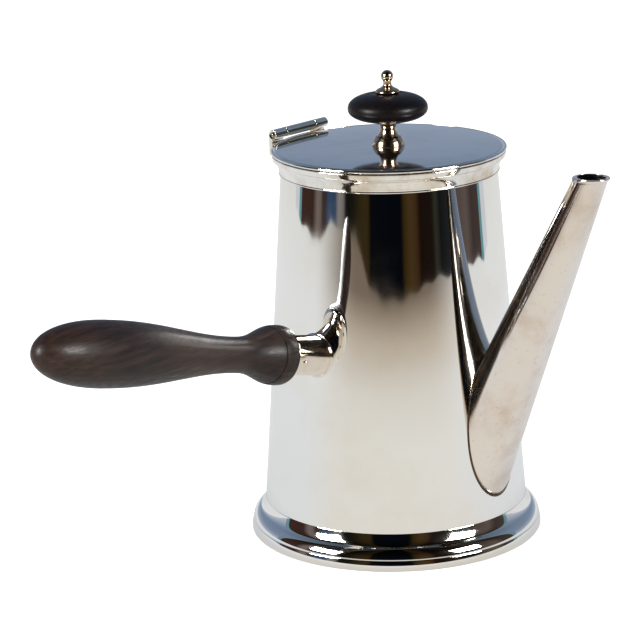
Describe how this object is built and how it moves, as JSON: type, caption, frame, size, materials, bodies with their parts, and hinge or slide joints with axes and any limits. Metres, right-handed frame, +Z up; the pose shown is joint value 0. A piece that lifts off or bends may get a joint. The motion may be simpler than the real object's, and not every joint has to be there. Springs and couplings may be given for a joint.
{
  "type": "side-handled coffee pot",
  "caption": "Polished silver coffee pot: tapered round body, straight tapered spout, turned wooden side handle and a flat hinged lid with a wood-and-silver finial.",
  "frame": {"origin": "centre of the foot's resting face, on the body's axis", "axes": "+Z up the body's axis, +X towards the spout, -Y towards the handle, lid hinge at -X"},
  "size_m": [0.1607, 0.2509, 0.1847],
  "materials": {
    "polished_silver": "mirror polished silver plate",
    "toned_silver": "polished silver plate with light warm toning",
    "dark_wood": "oiled dark brown hardwood, satin",
    "black_wood": "near-black turned hardwood, satin"
  },
  "bodies": {
    "pot": {"body_shell": "polished_silver", "base_plate": "polished_silver", "foot_moulding": "polished_silver", "foot_wire": "polished_silver", "rim_moulding": "polished_silver", "spout_tube": "toned_silver", "spout_lip": "toned_silver", "handle_socket": "toned_silver", "socket_flange": "polished_silver", "wooden_handle": "dark_wood", "handle_rivet": "toned_silver", "fixed_knuckles": "polished_silver", "hinge_pin": "toned_silver"},
    "lid": {"lid_plate": "polished_silver", "lid_edge_wire": "polished_silver", "lid_bezel": "polished_silver", "lid_knuckle": "polished_silver", "hinge_leaf": "polished_silver", "finial_stem": "toned_silver", "finial_disc": "black_wood", "finial_cap": "toned_silver", "finial_stud": "toned_silver", "finial_washer": "toned_silver", "finial_nut": "toned_silver"}
  },
  "joints": [
    {"name": "lid_hinge", "type": "hinge", "parent": "pot", "child": "lid", "pos_m": [-0.046, 0, 0.1569], "axis": [0, -1, 0], "range_deg": [0, 105]}
  ]
}
